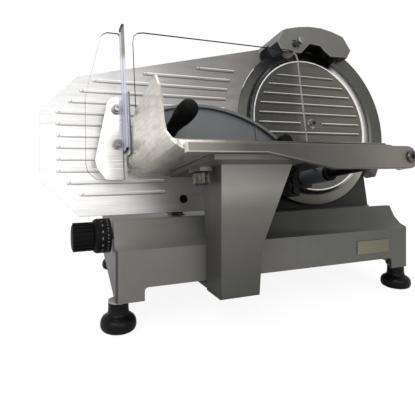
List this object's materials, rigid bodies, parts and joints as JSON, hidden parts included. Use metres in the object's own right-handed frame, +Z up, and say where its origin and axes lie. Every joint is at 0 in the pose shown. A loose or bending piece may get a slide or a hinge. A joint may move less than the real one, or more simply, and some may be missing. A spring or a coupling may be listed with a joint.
{
  "type": "meat slicer",
  "caption": "Gravity-feed meat slicer with a tilted round blade, ribbed cover, sliding food table, pusher, clear guard, thickness plate with dial, sharpener and cast base on feet.",
  "frame": {"origin": "centre of the bounding box at floor level, under the feet", "axes": "+X along the carriage slide to the operator's right, +Y away from the operator, +Z up"},
  "size_m": [0.546, 0.371, 0.3915],
  "materials": {
    "casting_paint": "satin grey coating",
    "dark_casting": "satin dark grey coating",
    "gauge_aluminium": "brushed, anodised",
    "cover_aluminium": "brushed, dark reflections",
    "stainless": "polished stainless sheet",
    "blade_steel": "ground steel",
    "machined_steel": "turned",
    "chromed": "polished",
    "pusher_coat": "satin blue-grey coating",
    "black_plastic": "fine texture",
    "foot_rubber": "semi-gloss",
    "belt_rubber": "matte",
    "clear_plastic": "clear",
    "plate_metal": "bare, no lettering",
    "stone": "abrasive grit",
    "button_green": "smooth",
    "button_red": "smooth"
  },
  "bodies": {
    "frame": {"base_casting": "casting_paint", "foot_front_left": "foot_rubber", "foot_front_right": "foot_rubber", "foot_rear_left": "foot_rubber", "foot_rear_right": "foot_rubber", "name_plate": "plate_metal", "blade_housing": "dark_casting", "belt_cover": "dark_casting", "motor_shell": "casting_paint", "ring_guard": "dark_casting", "blade_cover": "cover_aluminium", "cover_bolt": "machined_steel", "tie_rod": "machined_steel", "blade_bearing": "machined_steel", "drive_belt": "belt_rubber", "motor": "machined_steel", "gauge_guide_rod": "machined_steel", "slide_rod": "machined_steel", "guide_rail": "machined_steel", "sharpener_post": "machined_steel", "slice_deflector": "stainless", "switch_plate": "black_plastic", "cable_gland": "black_plastic"},
    "blade_rotor": {"blade": "blade_steel", "blade_shaft": "machined_steel", "blade_pulley": "machined_steel"},
    "motor_rotor": {"motor_pulley": "machined_steel"},
    "gauge": {"gauge_plate": "gauge_aluminium", "gauge_bracket": "machined_steel", "gauge_screw": "black_plastic"},
    "dial": {"dial_knob": "black_plastic", "dial_collar": "black_plastic", "dial_shaft": "machined_steel"},
    "nut": {"thickness_nut": "machined_steel"},
    "carriage": {"carriage_arm": "casting_paint", "table_tray": "stainless", "front_rail": "casting_paint", "rail_screw": "machined_steel", "pusher_rod": "machined_steel", "rod_bracket": "dark_casting", "hand_guard": "clear_plastic", "guard_bracket": "stainless", "guard_screw_upper": "machined_steel", "guard_screw_lower": "machined_steel"},
    "roller": {"guide_roller": "black_plastic"},
    "clamp": {"clamp_knob": "chromed"},
    "bush": {"pusher_bush": "black_plastic"},
    "pusher": {"pusher_plate": "pusher_coat", "clear_shield": "clear_plastic", "pusher_handle": "black_plastic"},
    "lock_knob": {"pusher_knob": "black_plastic"},
    "sharpener": {"sharpener_hood": "casting_paint"},
    "hone_slide": {"hone_button": "chromed"},
    "hone_wheel": {"hone_stone": "stone"},
    "grind_slide": {"grind_button": "chromed"},
    "grind_wheel": {"grind_stone": "stone"},
    "start_switch": {"start_button": "button_green"},
    "stop_switch": {"stop_button": "button_red"}
  },
  "joints": [
    {"name": "blade_spin", "type": "hinge", "parent": "frame", "child": "blade_rotor", "pos_m": [0.12803, 0.02122, 0.235], "axis": [0, 0.9848, -0.1736], "continuous": true},
    {"name": "motor_spin", "type": "hinge", "parent": "frame", "child": "motor_rotor", "pos_m": [0.18303, 0.00385, 0.13652], "axis": [0, 0.9848, -0.1736], "continuous": true},
    {"name": "carriage_slide", "type": "slide", "parent": "frame", "child": "carriage", "axis": [1, 0, 0], "range_m": [-0.04, 0.225]},
    {"name": "roller_turn", "type": "hinge", "parent": "carriage", "child": "roller", "pos_m": [-0.07997, -0.01078, 0.0633], "axis": [0, 1, 0], "range_deg": [-260, 1440]},
    {"name": "gauge_slide", "type": "slide", "parent": "frame", "child": "gauge", "axis": [0, 0.9848, -0.1736], "range_m": [0, 0.015]},
    {"name": "dial_turn", "type": "hinge", "parent": "frame", "child": "dial", "pos_m": [-0.21997, -0.04578, 0.0954], "axis": [1, 0, 0], "range_deg": [0, 335]},
    {"name": "nut_slide", "type": "slide", "parent": "frame", "child": "nut", "axis": [1, 0, 0], "range_m": [0, 0.0165]},
    {"name": "clamp_turn", "type": "hinge", "parent": "carriage", "child": "clamp", "pos_m": [-0.11297, -0.10558, 0.16089], "axis": [0, 0.1736, 0.9848], "range_deg": [-180, 180]},
    {"name": "pusher_slide", "type": "slide", "parent": "carriage", "child": "bush", "axis": [0, -0.9848, 0.1736], "range_m": [0, 0.095]},
    {"name": "pusher_swing", "type": "hinge", "parent": "bush", "child": "pusher", "pos_m": [0.09703, -0.04296, 0.15899], "axis": [0, 0.9848, -0.1736], "range_deg": [0, 60]},
    {"name": "lock_turn", "type": "hinge", "parent": "pusher", "child": "lock_knob", "pos_m": [0.03003, -0.05241, 0.2033], "axis": [0, 0.9848, -0.1736], "range_deg": [-180, 180]},
    {"name": "sharpener_lift", "type": "slide", "parent": "frame", "child": "sharpener", "axis": [0, 0.1736, 0.9848], "range_m": [0, 0.018]},
    {"name": "hone_push", "type": "slide", "parent": "sharpener", "child": "hone_slide", "axis": [0, 0.9848, -0.1736], "range_m": [0, 0.0035], "stiffness_N_per_m": 400},
    {"name": "hone_spin", "type": "hinge", "parent": "hone_slide", "child": "hone_wheel", "pos_m": [0.09703, 0.03409, 0.35407], "axis": [0, 0.9848, -0.1736], "continuous": true},
    {"name": "grind_push", "type": "slide", "parent": "sharpener", "child": "grind_slide", "axis": [0, -0.9848, 0.1736], "range_m": [0, 0.005], "stiffness_N_per_m": 400},
    {"name": "grind_spin", "type": "hinge", "parent": "grind_slide", "child": "grind_wheel", "pos_m": [0.15403, 0.05378, 0.3506], "axis": [0, 0.9848, -0.1736], "continuous": true},
    {"name": "start_push", "type": "slide", "parent": "frame", "child": "start_switch", "axis": [0, -1, 0], "range_m": [0, 0.003], "stiffness_N_per_m": 400},
    {"name": "stop_push", "type": "slide", "parent": "frame", "child": "stop_switch", "axis": [0, -1, 0], "range_m": [0, 0.003], "stiffness_N_per_m": 400}
  ],
  "couplings": [
    {"joint": "motor_spin", "follows": "blade_spin", "ratio": 3},
    {"joint": "roller_turn", "follows": "carriage_slide", "rad_per_m": 111.11},
    {"joint": "dial_turn", "follows": "gauge_slide", "rad_per_m": 384},
    {"joint": "nut_slide", "follows": "gauge_slide", "ratio": 1.0667}
  ]
}
